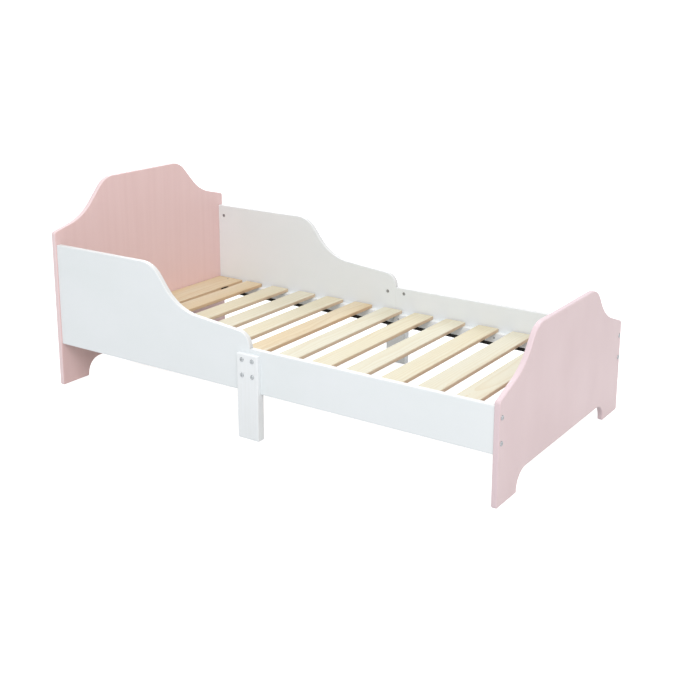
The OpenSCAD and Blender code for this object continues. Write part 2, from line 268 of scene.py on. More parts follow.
@dataclass
class Shape:
    """A mesh made of slabs with rounded edges, with exact normals at every face corner."""

    points: list[Vector] = field(default_factory=list)
    faces: list[tuple[int, ...]] = field(default_factory=list)
    normals: list[Vector] = field(default_factory=list)

    def _ring(self, lay: Lay, loop: Loop, depths: Iterable[float]) -> list[int]:
        """Adds a ring of points and returns their numbers."""
        first = len(self.points)
        self.points.extend(lay.place(a, b, depth) for (a, b), depth in zip(loop, depths))
        return list(range(first, len(self.points)))

    def _face(self, lay: Lay, corners: Sequence[int], normals: Sequence[Vector]) -> None:
        """Adds a face and its corner normals, turned the right way out."""
        if lay.mirrored:
            corners, normals = corners[::-1], normals[::-1]
        self.faces.append(tuple(corners))
        self.normals.extend(normals)

    def _band(self, lay: Lay, low: list[int], high: list[int],
              low_n: Sequence[Vector], high_n: Sequence[Vector]) -> None:
        """Joins two rings of equal length by a band of four-sided faces."""
        count = len(low)
        for i in range(count):
            j = (i + 1) % count
            self._face(lay, (low[i], low[j], high[j], high[i]), (low_n[i], low_n[j], high_n[j], high_n[i]))

    def _cap(self, lay: Lay, loops: list[Loop], rings: list[list[int]], up: bool) -> None:
        """Closes a flat face that may have holes; up is True if it faces greater depth."""
        numbers = [i for ring in rings for i in ring]
        spots = [p for loop in loops for p in loop]
        flat = [[Vector((a, b, 0.0)) for a, b in loop] for loop in loops]
        normal = lay.place(0, 0, 1.0 if up else -1.0)
        triangles = tessellate_polygon(flat)
        turned = (sum(area_of([spots[i] for i in tri]) for tri in triangles) > 0) != up
        for tri in triangles:
            self._face(lay, [numbers[i] for i in (tri[::-1] if turned else tri)], [normal] * 3)

    def _recess(self, lay: Lay, hole: Recess, depth: float) -> list[int]:
        """Adds a hole's wall and floor and returns the ring of its mouth."""
        loop = anticlockwise(hole.outline)
        centre = sum((Vector(p) for p in loop), Vector((0, 0))) / len(loop)
        floor_loop = [tuple(centre + (Vector(p) - centre) * hole.floor) for p in loop]
        sign = -1 if hole.far else 1
        mouth = self._ring(lay, loop, repeat(depth))
        floor = self._ring(lay, floor_loop, repeat(depth + sign * hole.depth))
        outward = edge_normals(loop)
        slope = (1 - hole.floor) * (Vector(loop[0]) - centre).length / hole.depth
        walls = [lay.place(-n.x, -n.y, -sign * slope).normalized() for n in outward]
        if hole.far:
            self._band(lay, mouth, floor, walls, walls)
        else:
            self._band(lay, floor, mouth, walls, walls)
        self._cap(lay, [floor_loop], [floor], hole.far)
        return mouth

    def slab(self, lay: Lay, outline: Loop, near: float, far: float, radius: float | Point,
             ease: Callable[[Point], float] | None = None, recesses: Sequence[Recess] = (),
             steps: int = 4) -> None:
        """Adds an outline carried from one depth to another, with rounded rims.

        Args:
            lay: how the slab lies.
            outline: its outline, any way round.
            near: the lesser depth.
            far: the greater depth.
            radius: the rounding of both rims, or of the rims at near and at far.
            ease: a share of that rounding for the outline's edge at a point, 1 everywhere if left out.
            recesses: blind holes in the two flat faces.
            steps: faces across each rounding.
        """
        loop = anticlockwise(outline)
        out = edge_normals(loop)
        middles = [(Vector(p) + Vector(q)) / 2 for p, q in zip(loop, loop[1:] + loop[:1])]
        share = [ease(tuple(m)) if ease else 1.0 for m in middles]
        insets = corner_insets(loop, share)
        radii = radius if isinstance(radius, tuple) else (radius, radius)
        quarter = [math.pi / 2 * k / steps for k in range(steps + 1)]
        rings, tilts = [], []
        caps: dict[bool, Loop] = {}
        for is_far, angle in [(False, t) for t in quarter] + [(True, t) for t in reversed(quarter)]:
            rim, outward, upward = radii[is_far], math.sin(angle), math.cos(angle)
            moves = [inset * rim * (1 - outward) for inset in insets]
            spots = [(a + move.x, b + move.y) for (a, b), move in zip(loop, moves)]
            rises = [rim * max(share[i - 1], share[i]) * (1 - upward) for i in range(len(loop))]
            rings.append(self._ring(lay, spots, [far - rise if is_far else near + rise for rise in rises]))
            lean = upward if is_far else -upward
            tilts.append([lay.place(n.x * outward, n.y * outward, lean) for n in out])
            if angle == 0:
                caps[is_far] = spots
        for i in range(len(rings) - 1):
            self._band(lay, rings[i], rings[i + 1], tilts[i], tilts[i + 1])
        for is_far, ring in ((False, rings[0]), (True, rings[-1])):
            holes = [hole for hole in recesses if hole.far == is_far]
            depth = far if is_far else near
            mouths = [self._recess(lay, hole, depth) for hole in holes]
            loops = [caps[is_far]] + [anticlockwise(hole.outline) for hole in holes]
            self._cap(lay, loops, [ring] + mouths, is_far)

    def stand_for(self, node: str, suffix: str, material: Material) -> None:
        """Turns the shape into a piece in place of a frame node and reports it.

        Args:
            node: the frame node.
            suffix: what the piece's name adds to the node's.
            material: the piece's material.
        """
        name = f"{node}_{suffix}"
        mesh = bpy.data.meshes.new(name)
        mesh.from_pydata(self.points, [], self.faces)
        mesh.polygons.foreach_set("use_smooth", [True] * len(mesh.polygons))
        mesh.normals_split_custom_set(self.normals)
        mesh.materials.append(material)
        obj = bpy.data.objects.new(name, mesh)
        bpy.context.scene.collection.objects.link(obj)
        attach(obj, "root")
        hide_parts(node)
        log.info("%s stands for %s: %d faces", name, node, len(mesh.polygons))


def side_normals(loop: Loop) -> list[Vector]:
    """The outward normal of each edge of an anticlockwise outline, the first from point 0 to point 1."""
    runs = [Vector(q) - Vector(p) for p, q in zip(loop, loop[1:] + loop[:1])]
    return [Vector((run.y, -run.x)).normalized() for run in runs]


def edge_normals(loop: Loop) -> list[Vector]:
    """The outward normal at each point of an anticlockwise outline."""
    sides = side_normals(loop)
    return [(sides[i - 1] + on).normalized() for i, on in enumerate(sides)]


def corner_insets(loop: Loop, share: Sequence[float]) -> list[Vector]:
    """How each point of an outline moves when its edges move inwards.

    Args:
        loop: the outline, anticlockwise.
        share: how far each edge moves, the first from point 0 to point 1.

    Returns:
        The move of each point, which keeps it on both of its edges.
    """
    sides = side_normals(loop)
    moves = []
    for i, on in enumerate(sides):
        back, r0, r1 = sides[i - 1], share[i - 1], share[i]
        turn = back.x * on.y - back.y * on.x
        if abs(turn) < math.sin(SHARP):
            moves.append((back + on) * (-(r0 + r1) / 2 / (1 + back.dot(on))))
        else:
            moves.append(Vector((r1 * back.y - r0 * on.y, r0 * on.x - r1 * back.x)) / turn)
    return moves


# ---- Finishes ----

# The length of one wave of the wave texture at scale 1.
WAVE = math.pi / 10


def srgb(code: str) -> tuple[float, float, float, float]:
    """Turns an sRGB hex colour such as #dfbfbd into linear light."""
    parts = [int(code[i:i + 2], 16) / 255 for i in (1, 3, 5)]
    linear = [c / 12.92 if c <= 0.04045 else ((c + 0.055) / 1.055) ** 2.4 for c in parts]
    return (*linear, 1.0)


def set_inputs(tree: Tree, node: Node, inputs: dict[str | int, object]) -> None:
    """Gives each named or numbered socket of a node its value, or a link from an output socket."""
    for key, value in inputs.items():
        if isinstance(value, Socket):
            tree.links.new(value, node.inputs[key])
        else:
            node.inputs[key].default_value = value


def add_node(tree: Tree, kind: str, inputs: dict[str | int, object] | None = None,
             **settings: object) -> Node:
    """Adds one node to a tree.

    Args:
        tree: the node tree.
        kind: the shader node's type name, without the word ShaderNode.
        inputs: socket name or number to a value, or to an output socket to link from.
        settings: the node's own properties.

    Returns:
        The new node.
    """
    node = tree.nodes.new(f"ShaderNode{kind}")
    for key, value in settings.items():
        setattr(node, key, value)
    set_inputs(tree, node, inputs or {})
    return node


def new_material(name: str) -> tuple[Material, Tree, Node]:
    """An empty node material, its tree and its main shader."""
    material = bpy.data.materials.new(name)
    material.use_nodes = True
    tree = material.node_tree
    tree.nodes.clear()
    shader = add_node(tree, "BsdfPrincipled")
    add_node(tree, "OutputMaterial", {"Surface": shader.outputs[0]})
    return material, tree, shader


def patches(tree: Tree, size_mm: Triple, detail: float,
            shift: Triple = (0.0, 0.0, 0.0)) -> Socket:
    """A cloudy pattern.

    Args:
        tree: the node tree.
        size_mm: the size of a patch along X, Y and Z.
        detail: how many finer layers it has.
        shift: moves the pattern, in patches.

    Returns:
        The pattern's factor, about 0.5 on average.
    """
    where = add_node(tree, "TexCoord").outputs["Object"]
    scale = tuple(1 / (size * MM) for size in size_mm)
    mapped = add_node(tree, "Mapping", {"Vector": where, "Scale": scale, "Location": shift})
    noise = add_node(tree, "TexNoise",
                     {"Vector": mapped.outputs[0], "Scale": 1.0, "Detail": detail, "Roughness": 0.55})
    return noise.outputs["Fac"]


def layered(tree: Tree, base: str, *layers: tuple[Socket, str]) -> Socket:
    """Lays colours over each other.

    Args:
        tree: the node tree.
        base: the lowest colour.
        layers: how far each next colour covers what is below it, and that colour.

    Returns:
        The colour that is seen.
    """
    # The mix node's colour sockets share their names with its other sockets, so they go by number.
    below, above, mixed = 6, 7, 2
    colour = srgb(base)
    for share, tone in layers:
        mix = add_node(tree, "Mix", {"Factor": share, below: colour, above: srgb(tone)}, data_type="RGBA")
        colour = mix.outputs[mixed]
    return colour


# Used as a mask that paints light and shade by the way a surface faces: lacquer rims and slat sides.
def off_axis(tree: Tree, axis: str, turned: float, straight: float) -> Socket:
    """How far the surface turns away from an axis.

    Args:
        tree: the node tree.
        axis: X, Y or Z.
        turned: the share of the normal along the axis at which the factor reaches 1.
        straight: the share at which it is still 0.

    Returns:
        A factor, 0 on faces that look along the axis and 1 on those that don't.
    """
    normal = add_node(tree, "NewGeometry").outputs["Normal"]
    parts = add_node(tree, "SeparateXYZ", {0: normal})
    along = add_node(tree, "Math", {0: parts.outputs[axis]}, operation="ABSOLUTE")
    share = add_node(tree, "MapRange",
                     {"Value": along.outputs[0], "From Min": turned, "From Max": straight,
                      "To Min": 1.0, "To Max": 0.0})
    return share.outputs[0]


@dataclass(frozen=True)
class SatinLacquer:
    """Satin lacquer sprayed on fibreboard or wood: even colour, soft sheen, faint orange peel.

    Attributes:
        name: the finish's name.
        colour: its main colour.
        shade: the slightly deeper colour of its thin patches.
        rim: its colour on the edges and tops, painted light and shade where the surface turns from the face
            axis: paler on the headboard, greyer on the footboard and panels.
        streak_mm: the size of the thin patches along X, Y and Z.
        face: the axis that the flat faces look along.
        peel_mm: the size of the orange peel.
        roughness: its mean roughness.
        relief: how strongly the peel shows.
    """

    name: str
    colour: str
    shade: str
    rim: str
    streak_mm: Triple
    face: str = "Y"
    peel_mm: float = 2.2
    roughness: float = 0.42
    relief: float = 0.08

    def build(self) -> Material:
        """Makes the material."""
        material, tree, shader = new_material(self.name)
        cloud = patches(tree, self.streak_mm, 4.0, (3.1, 7.7, 1.3))
        thin = add_node(tree, "MapRange", {"Value": cloud, "From Min": 0.35, "From Max": 0.7})
        # The rim colour is painted light and shade on the edges and tops, which turn away from the face axis.
        colour = layered(tree, self.colour, (thin.outputs[0], self.shade),
                         (off_axis(tree, self.face, 0.55, 0.95), self.rim))
        rough = add_node(tree, "MapRange",
                         {"Value": cloud, "From Min": 0.3, "From Max": 0.7,
                          "To Min": self.roughness - 0.04, "To Max": self.roughness + 0.05})
        peel = patches(tree, (self.peel_mm,) * 3, 2.0)
        bump = add_node(tree, "Bump",
                        {"Strength": self.relief, "Distance": 0.1 * MM, "Height": peel})
        set_inputs(tree, shader, {"Base Color": colour, "Roughness": rough.outputs[0],
                                  "Normal": bump.outputs[0], "IOR": 1.48, "Coat Weight": 0.08,
                                  "Coat Roughness": 0.3})
        return material


@dataclass(frozen=True)
class PlanedWood:
    """Planed, unfinished wood: growth rings that show as long lines on top and arcs on the ends.

    Attributes:
        name: the finish's name.
        pale: the early wood between the lines.
        line: the late wood of the lines.
        warm: the tone of the warmer stretches.
        side: painted shade on the sawn sides, a warmer, deeper tone that stands in for the less light and the
            more of their neighbours' colour that they catch.
        heart: how far the tree's middle lies from the frame's origin in X and Z.
        ring_mm: the width of a year's growth.
        seed: moves the fine fibre pattern.
        wander_mm: how far the lines stray to either side.
    """

    name: str
    pale: str
    line: str
    warm: str
    side: str
    heart: Point
    ring_mm: float
    seed: float
    wander_mm: float = 4.0

    def build(self) -> Material:
        """Makes the material."""
        material, tree, shader = new_material(self.name)
        late = self._late_wood(tree)
        fibre = patches(tree, (0.9, 60.0, 0.9), 3.0, (self.seed, self.seed, 0.0))
        flecks = add_node(tree, "MapRange",
                          {"Value": fibre, "From Min": 0.52, "From Max": 0.72, "To Max": 0.35})
        cloud = add_node(tree, "MapRange",
                         {"Value": patches(tree, (55.0, 330.0, 55.0), 2.0, (0.0, self.seed, 0.0)),
                          "From Min": 0.35, "From Max": 0.68, "To Max": 0.8})
        # Painted shade: faces turned away from Z take the side tone, standing in for the light that the sawn
        # sides miss and the colour that they catch from the next slats.
        sides = add_node(tree, "MapRange", {"Value": off_axis(tree, "Z", 0.15, 0.85), "To Max": 0.7})
        colour = layered(tree, self.pale, (cloud.outputs[0], self.warm), (late.outputs[0], self.line),
                         (flecks.outputs[0], self.line), (sides.outputs[0], self.side))
        height = add_node(tree, "Math", {0: fibre, 1: late.outputs[0]}, operation="ADD")
        bump = add_node(tree, "Bump",
                        {"Strength": 0.25, "Distance": 0.15 * MM, "Height": height.outputs[0]})
        rough = add_node(tree, "MapRange",
                         {"Value": fibre, "From Min": 0.3, "From Max": 0.7, "To Min": 0.55, "To Max": 0.7})
        set_inputs(tree, shader, {"Base Color": colour, "Roughness": rough.outputs[0],
                                  "Normal": bump.outputs[0], "IOR": 1.45, "Specular IOR Level": 0.35})
        return material

    def _late_wood(self, tree: Tree) -> Node:
        """The dark lines: rings round the tree's heart, which wander a little along the board."""
        where = add_node(tree, "TexCoord").outputs["Object"]
        wander = add_node(tree, "MapRange",
                          {"Value": patches(tree, (90.0, 420.0, 90.0), 1.0, (self.seed, 0.0, 0.0)),
                           "From Min": 0.2, "From Max": 0.8,
                           "To Min": -self.wander_mm * MM, "To Max": self.wander_mm * MM})
        bent = add_node(tree, "CombineXYZ", {"X": wander.outputs[0], "Z": wander.outputs[0]})
        moved = add_node(tree, "VectorMath",
                         {0: where, 1: (-self.heart[0], 0.0, -self.heart[1])}, operation="ADD")
        moved = add_node(tree, "VectorMath",
                         {0: moved.outputs[0], 1: bent.outputs[0]}, operation="ADD")
        rings = add_node(tree, "TexWave",
                         {"Vector": moved.outputs[0], "Scale": WAVE / (self.ring_mm * MM),
                          "Distortion": 1.2, "Detail": 2.0, "Detail Scale": 0.25},
                         wave_type="RINGS", rings_direction="Y", wave_profile="SAW")
        return add_node(tree, "MapRange",
                        {"Value": rings.outputs["Fac"], "From Min": 0.45, "From Max": 1.0, "To Max": 0.62})


@dataclass(frozen=True)
class WovenWebbing:
    """Polypropylene webbing, plain woven: fine crossing ribs that catch almost no light.

    Attributes:
        name: the finish's name.
        colour: the threads' colour.
        rib_highlight: a painted highlight, the lighter colour laid on the crests of the threads.
        thread_mm: the spacing of the threads, drawn coarser than the real 0.8 mm so that it shows.
    """

    name: str
    colour: str
    rib_highlight: str
    thread_mm: float = 1.6

    def build(self) -> Material:
        """Makes the material."""
        material, tree, shader = new_material(self.name)
        where = add_node(tree, "TexCoord").outputs["Object"]
        ribs = [add_node(tree, "TexWave", {"Vector": where, "Scale": WAVE / (self.thread_mm * MM)},
                         wave_type="BANDS", bands_direction=axis).outputs["Fac"]
                for axis in ("X", "Y")]
        weave = add_node(tree, "Math", {0: ribs[0], 1: ribs[1]}, operation="MULTIPLY").outputs[0]
        bump = add_node(tree, "Bump", {"Strength": 0.8, "Distance": 0.3 * MM, "Height": weave})
        # The rib colour on the thread crests is a painted highlight.
        set_inputs(tree, shader, {"Base Color": layered(tree, self.colour, (weave, self.rib_highlight)),
                                  "Normal": bump.outputs[0], "Roughness": 0.85, "Specular IOR Level": 0.1})
        return material


@dataclass(frozen=True)
class ZincPlate:
    """Zinc-plated steel: a grey metal with fine turning marks and slightly uneven dullness.

    Attributes:
        name: the finish's name.
        colour: the plating's colour.
        dull: the colour of its duller spots.
        roughness: its mean roughness.
        spot_mm: the size of the duller spots.
        mark_mm: the size of the turning marks.
    """

    name: str
    colour: str
    dull: str
    roughness: float
    spot_mm: float = 2.5
    mark_mm: float = 0.4

    def build(self) -> Material:
        """Makes the material."""
        material, tree, shader = new_material(self.name)
        spots = patches(tree, (self.spot_mm,) * 3, 3.0, (1.0, 2.0, 3.0))
        marks = patches(tree, (self.mark_mm,) * 3, 1.0, (5.0, 2.0, 8.0))
        dulled = add_node(tree, "MapRange", {"Value": spots, "From Min": 0.4, "From Max": 0.7})
        colour = layered(tree, self.colour, (dulled.outputs[0], self.dull))
        rough = add_node(tree, "MapRange",
                         {"Value": spots, "From Min": 0.3, "From Max": 0.7,
                          "To Min": self.roughness - 0.05, "To Max": self.roughness + 0.12})
        bump = add_node(tree, "Bump", {"Strength": 0.15, "Distance": 0.05 * MM, "Height": marks})
        set_inputs(tree, shader, {"Base Color": colour, "Roughness": rough.outputs[0],
                                  "Normal": bump.outputs[0], "Metallic": 1.0})
        return material


# Dusty rose satin lacquer, sprayed and rubbed down on fibreboard: a soft sheen with faint upright streaks on
# the headboard, and a more even coat on the footboard, whose cooler, paler colour is painted reflection of
# the white surround on the same lacquer.
ROSE_HEAD = SatinLacquer("rose_lacquer_headboard", "#e4c5c4", "#e1c1c0", "#e4cfd1", (18.0, 18.0, 500.0), "X")
ROSE_FOOT = SatinLacquer("rose_lacquer_footboard", "#e2cbcd", "#dfc8ca", "#d9c5ca", (90.0, 120.0, 220.0), "X")
# Cool white satin lacquer on fibreboard panels: almost even, with a greyer painted shade on the rims.
WHITE_PANEL = SatinLacquer("white_lacquer_panel", "#e5eaed", "#e2e8ea", "#dadbdb", (260.0, 60.0, 140.0))
# The same lacquer on solid wood, where the grain under it shows as narrow streaks and a little relief.
WHITE_WOOD = SatinLacquer("white_lacquer_solid_wood", "#e9edf0", "#e6eaec", "#eaedef", (6.0, 6.0, 200.0),
                          relief=0.12)
WHITE_BATTEN = SatinLacquer("white_lacquer_batten", "#e9ecee", "#e4e7e8", "#e8ebec", (240.0, 6.0, 6.0),
                            relief=0.15)
# Black polypropylene webbing, woven: nearly black, with a faint painted highlight on the rib crests.
WEBBING = WovenWebbing("black_polypropylene_webbing", "#080706", "#181615")
# Steel with a bright zinc plating on the bolts, a duller one on nuts, and a grey one on screws.
BOLT_PLATE = ZincPlate("bolt_zinc_plate", "#b3b7ba", "#979b9e", 0.36)
NUT_PLATE = ZincPlate("nut_zinc_plate", "#a9adaf", "#8b8f92", 0.38)
SCREW_PLATE = ZincPlate("screw_zinc_plate", "#8f9092", "#77787a", 0.42)
# Beech dowels, turned and left bare: warm, fine-grained and even; their painted side shade is the same warm
# tone.
BEECH = PlanedWood("fluted_beech", "#d9c096", "#c6a577", "#d2b285", "#d2b285", (0.4, 0.1), 1.4, 2.0)


# ---- Painted boards and panels ----


@dataclass
class EndBoard:
    """A shaped head or foot board, its outline read from the frame.

    Attributes:
        node: the frame node.
        finish: its lacquer.
        edge: the rounding of its long edges.
        toe: the rounding of its feet's corners.
    """

    node: str
    finish: SatinLacquer
    edge: float = 3.2 * MM
    toe: float = 4.5 * MM

    def build(self) -> None:
        """Builds the board and dresses it."""
        low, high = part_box(self.node)
        outline = rounded(face_outline(self.node, Lay.ACROSS, far=True), self.toe)
        shape = Shape()
        shape.slab(Lay.ACROSS, outline, low[0], high[0], self.edge, steps=6)
        shape.stand_for(self.node, "lacquered", self.finish.build())


@dataclass
class SidePanels:
    """The guard panel and the low rail of one side, with the holes in their inner faces.

    Attributes:
        side: which side of the bed.
        material: the white lacquer.
        edge: the rounding of their free edges.
        butt: the rounding where they meet another board.
        nut_hole: the radius of the barrel nuts' holes.
        nut_sink: how deep they are to the nut.
    """

    side: Side
    material: Material
    edge: float = 2.4 * MM
    butt: float = 0.25 * MM
    nut_hole: float = 5.4 * MM
    nut_sink: float = 1.4 * MM

    def build(self) -> None:
        """Builds both panels."""
        self._panel(f"guard_panel_{self.side.word}", butt_x=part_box(f"guard_panel_{self.side.word}")[0][0])
        self._panel(f"foot_rail_{self.side.word}", butt_x=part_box(f"foot_rail_{self.side.word}")[1][0])

    def _nut_spots(self, node: str) -> list[Point]:
        """The places of the barrel nuts that open in this panel's inner face, as X and Z."""
        low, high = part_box(node)
        spots = []
        for group in NUT_GROUPS:
            spots += [(c.x, c.z) for c in solid_centres(group) if c.y * self.side.value > 0]
        return [(x, z) for x, z in spots if low[0] < x < high[0]]

    def _panel(self, node: str, butt_x: float) -> None:
        """Builds one panel.

        Args:
            node: the frame node.
            butt_x: where the panel meets its end board.
        """
        low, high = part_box(node)
        joint_x = low[0] if butt_x == high[0] else high[0]
        rail_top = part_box(f"foot_rail_{self.side.word}")[1][2]

        def ease(spot: Point) -> float:
            """Full rounding on free edges, a trace of it on the upright edges that butt."""
            on_board = abs(spot[0] - butt_x) < NEAR
            on_joint = abs(spot[0] - joint_x) < NEAR and spot[1] < rail_top
            return self.butt / self.edge if on_board or on_joint else 1.0

        outline = with_corner_points(face_outline(node, Lay.ALONG, far=True), self.edge)
        inner_is_far = self.side is Side.FRONT
        holes = [Recess(circle(x, z, self.nut_hole), self.nut_sink, inner_is_far)
                 for x, z in self._nut_spots(node)]
        shape = Shape()
        shape.slab(Lay.ALONG, outline, low[1], high[1], self.edge, ease, holes, steps=5)
        shape.stand_for(node, "lacquered", self.material)


@dataclass
class MiddleLeg:
    """A leg under the middle joint, glued up from two layers.

    The outer layer runs up in front of the panels, and the inner one stops under them.

    Attributes:
        side: which side of the bed.
        material: the white lacquer on solid wood.
        edge: the rounding of its long edges.
        seam: the rounding along the glue line, which leaves a fine groove.
    """

    side: Side
    material: Material
    edge: float = 2.5 * MM
    seam: float = 0.7 * MM

    def build(self) -> None:
        """Builds the leg."""
        node = f"middle_leg_{self.side.word}"
        low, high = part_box(node)
        panel_low, panel_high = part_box(f"guard_panel_{self.side.word}")
        front = self.side is Side.FRONT
        outer, inner = (low[1], high[1]) if front else (high[1], low[1])
        glue_line = panel_low[1] if front else panel_high[1]
        shape = Shape()
        self._layer(shape, node, outer, glue_line, high[2])
        self._layer(shape, node, inner, glue_line, panel_low[2])
        shape.stand_for(node, "lacquered", self.material)

    def _layer(self, shape: Shape, node: str, free: float, glued: float, top: float) -> None:
        """Adds one layer of the leg.

        Args:
            shape: the shape to add to.
            node: the frame node.
            free: where the layer's free face lies across the bed.
            glued: where its glued face lies.
            top: how high it reaches.
        """
        low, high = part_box(node)

        def is_glued(spot: Point) -> bool:
            """True on the glued side."""
            return abs(spot[0] - glued) < abs(spot[0] - free)

        def corner(spot: Point) -> float:
            """Rounds the free corners and leaves the glued ones."""
            return 0.0 if is_glued(spot) else 1.2 * self.edge

        def ease(spot: Point) -> float:
            """Full rounding on all edges but the glued one."""
            return self.seam / self.edge if abs(spot[0] - glued) < NEAR else 1.0

        outline = rounded(rectangle(free, low[2], glued, top), corner)
        outline = with_corner_points(outline, self.edge)
        shape.slab(Lay.ACROSS, outline, low[0], high[0], self.edge, ease)


@dataclass
class Cleats:
    """The four painted battens that carry the slats' ends.

    Attributes:
        material: the white lacquer on solid wood.
        edge: the rounding of their long edges.
        end: the rounding of their ends.
    """

    material: Material
    edge: float = 1.5 * MM
    end: float = 0.6 * MM

    def build(self) -> None:
        """Builds the battens."""
        for panel in ("guard", "rail"):
            for side in Side:
                node = f"cleat_{panel}_{side.word}"
                low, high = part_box(node)
                section = rounded(rectangle(low[1], low[2], high[1], high[2]), self.edge, 30)
                shape = Shape()
                shape.slab(Lay.ACROSS, section, low[0], high[0], self.end, steps=2)
                shape.stand_for(node, "batten", self.material)


# ---- Slat base ----


def solid_centres(node: str) -> list[Vector]:
    """The middle of each separate solid in a frame node, in order along X, then Y, then Z."""
    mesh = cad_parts[node].data
    group = list(range(len(mesh.vertices)))
    first_at: dict[tuple[float, ...], int] = {}

    def root(i: int) -> int:
        """The number that stands for a vertex's solid."""
        while group[i] != i:
            group[i] = group[group[i]]
            i = group[i]
        return i

    for v in mesh.vertices:
        key = tuple(round(c, 6) for c in v.co)
        group[root(v.index)] = root(first_at.setdefault(key, v.index))
    for face in mesh.polygons:
        for i in face.vertices[1:]:
            group[root(i)] = root(face.vertices[0])
    boxes: dict[int, list[Vector]] = {}
    for v in mesh.vertices:
        box = boxes.setdefault(root(v.index), [v.co.copy(), v.co.copy()])
        box[0] = Vector(min(p, q) for p, q in zip(box[0], v.co))
        box[1] = Vector(max(p, q) for p, q in zip(box[1], v.co))
    centres = [(low + high) / 2 for low, high in boxes.values()]
    return sorted(centres, key=lambda c: tuple(round(p, 5) for p in c))


@dataclass
class SlatBase:
    """The pine slats, the webbing that joins them and its staples.

    Attributes:
        count: how many slats there are.
        edge: the rounding of the slats' long edges.
        end: the rounding of their sawn ends.
        slack: how far the webbing hangs between two slats.
        thick: the webbing's thickness.
        hem: the rounding of the webbing's edges.
        sink: a screw hole's radius, its depth and its floor's share of that radius.
        fold_room: the space between the webbing's fold and the slats beside it.
        fold_rise: how far the fold stands above the frame's.
        fold_waist: the fold's width half way up, as a share of its full width.
        tones: pale, line and warm colours of the three boards that the slats are cut from, each with the
            painted shade of its sides.
        order: the board that each slat is cut from.
    """

    count: int = 13
    edge: float = 3.0 * MM
    end: float = 0.8 * MM
    slack: float = 0.6 * MM
    thick: float = 1.4 * MM
    hem: float = 0.5 * MM
    sink: Triple = (3.9 * MM, 2.2 * MM, 0.5)
    fold_room: float = 1.5 * MM
    fold_rise: float = 2.0 * MM
    fold_waist: float = 0.86
    tones: tuple[tuple[str, str, str, str], ...] = (
        ("#d7d2bc", "#cbbc9c", "#d4cbaf", "#d2b395"),
        ("#d6d3c1", "#ccc0a4", "#d3cdb6", "#d2b598"),
        ("#d7cbb1", "#c7af89", "#d3bf9b", "#cfa984"),
    )
    order: tuple[int, ...] = (2, 2, 0, 1, 0, 2, 1, 0, 1, 0, 1, 1, 0)

    def build(self) -> None:
        """Builds slats, webbing and staples."""
        for i in range(1, self.count + 1):
            self._slat(i)
        webbing = WEBBING.build()
        for side in Side:
            self._strap(side, webbing)
        self._staples()

    def _pine(self, i: int) -> Material:
        """The material of slat number i, sawn from its own place in a tree."""
        dice = random.Random(100 + i)
        low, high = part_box(f"slat_{i:02d}")
        aside, below = dice.uniform(-50 * MM, 50 * MM), dice.uniform(30 * MM, 120 * MM)
        heart = ((low[0] + high[0]) / 2 + aside, low[2] - below)
        ring_mm = dice.uniform(2.6, 4.2)
        seed = dice.uniform(0, 50)
        tones = self.tones[self.order[i - 1]]
        return PlanedWood(f"planed_pine_{i:02d}", *tones, heart, ring_mm, seed).build()

    def _slat(self, i: int) -> None:
        """Builds slat number i, with countersunk holes where a screw goes through it."""
        node = f"slat_{i:02d}"
        low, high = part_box(node)
        screws = [c for c in solid_centres("slat_screws") if low[0] < c.x < high[0]]
        radius, depth, floor = self.sink
        holes = [Recess(circle(c.x, c.y, radius, 28), depth, True, floor) for c in screws]

        def ease(spot: Point) -> float:
            """Full rounding on the long edges, nearly sharp on the sawn ends."""
            at_end = min(abs(spot[1] - low[1]), abs(spot[1] - high[1])) < NEAR
            return self.end / self.edge if at_end else 1.0

        outline = with_corner_points(rectangle(low[0], low[1], high[0], high[1]), self.edge)
        shape = Shape()
        shape.slab(Lay.FLAT, outline, low[2], high[2], self.edge, ease, holes, steps=5)
        shape.stand_for(node, "pine", self._pine(i))

    def _strap_line(self) -> Loop:
        """The webbing's lower side as X and Z: flat under slats, slack between, one fold upright."""
        low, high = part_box("webbing_rear")
        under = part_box("slat_02")[0][2]
        bottom = under - self.thick
        line: Loop = [(low[0], bottom)]
        for i in range(1, self.count):
            gap0, gap1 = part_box(f"slat_{i:02d}")[1][0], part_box(f"slat_{i + 1:02d}")[0][0]
            if i == 1:
                top = high[2] - self.thick + self.fold_rise
                line += self._fold(gap0 + self.fold_room, gap1 - self.fold_room, bottom, top)
                continue
            for k in range(9):
                t = k / 8
                sag = self.slack * math.sin(math.pi * t) ** 2
                line.append((gap0 + (gap1 - gap0) * t, bottom - sag))
        line.append((high[0], bottom))
        return line

    def _fold(self, x0: float, x1: float, low: float, top: float) -> Loop:
        """The slack webbing that stands up between the first two slats."""
        mid, half = (x0 + x1) / 2, (x1 - x0) / 2 - self.thick
        rise = top - low - half
        side = [(mid - half, low), (mid - half * self.fold_waist, low + rise * 0.5), (mid - half, low + rise)]
        arch = [(mid - half * math.cos(a), low + rise + half * math.sin(a))
                for a in (math.pi * k / 10 for k in range(1, 10))]
        return side + arch + [(2 * mid - x, z) for x, z in reversed(side)]

    def _strap(self, side: Side, material: Material) -> None:
        """Builds one strap of webbing."""
        node = f"webbing_{side.word}"
        low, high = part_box(node)
        line = [Vector(p) for p in self._strap_line()]
        runs = [(q - p).normalized() for p, q in zip(line, line[1:])]
        above: list[Vector] = []
        for here, before, after in zip(line, runs[:1] + runs, runs + runs[-1:]):
            along = (before + after) / (1 + before.dot(after))
            above.append(here + Vector((-along.y, along.x)) * self.thick)
        outline = [tuple(p) for p in line] + [tuple(p) for p in reversed(above)]
        shape = Shape()
        shape.slab(Lay.ALONG, outline, low[1], high[1], self.hem, steps=2)
        shape.stand_for(node, "strap", material)

